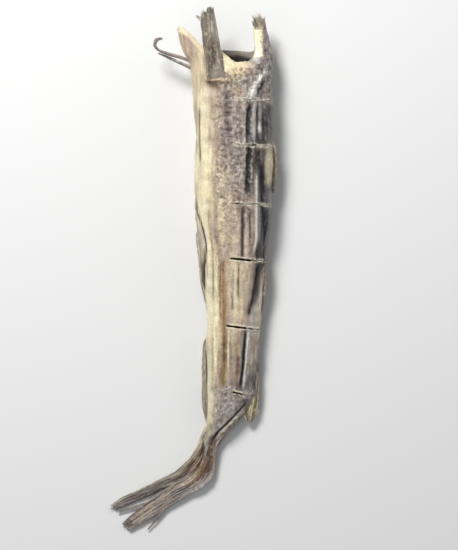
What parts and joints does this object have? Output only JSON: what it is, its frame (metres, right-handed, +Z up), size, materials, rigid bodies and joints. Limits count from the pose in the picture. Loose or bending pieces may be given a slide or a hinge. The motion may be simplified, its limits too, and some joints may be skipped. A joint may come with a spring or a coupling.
{
  "type": "stockfish",
  "caption": "Whole air-dried cod without its head, gutted and open at the neck, lying on its side with saw cuts across the back and a folded forked tail.",
  "frame": {"origin": "on the surface that the fish rests on, under the middle of its bounding box", "axes": "+Y along the fish towards the open neck, +X towards its back, -X towards its belly, +Z up out of the flank that shows"},
  "size_m": [0.2029, 0.6279, 0.0607],
  "materials": {
    "dried_fish": "dry skin and flesh, dull to satin"
  },
  "bodies": {
    "root": {"stockfish": "dried_fish"}
  },
  "joints": []
}
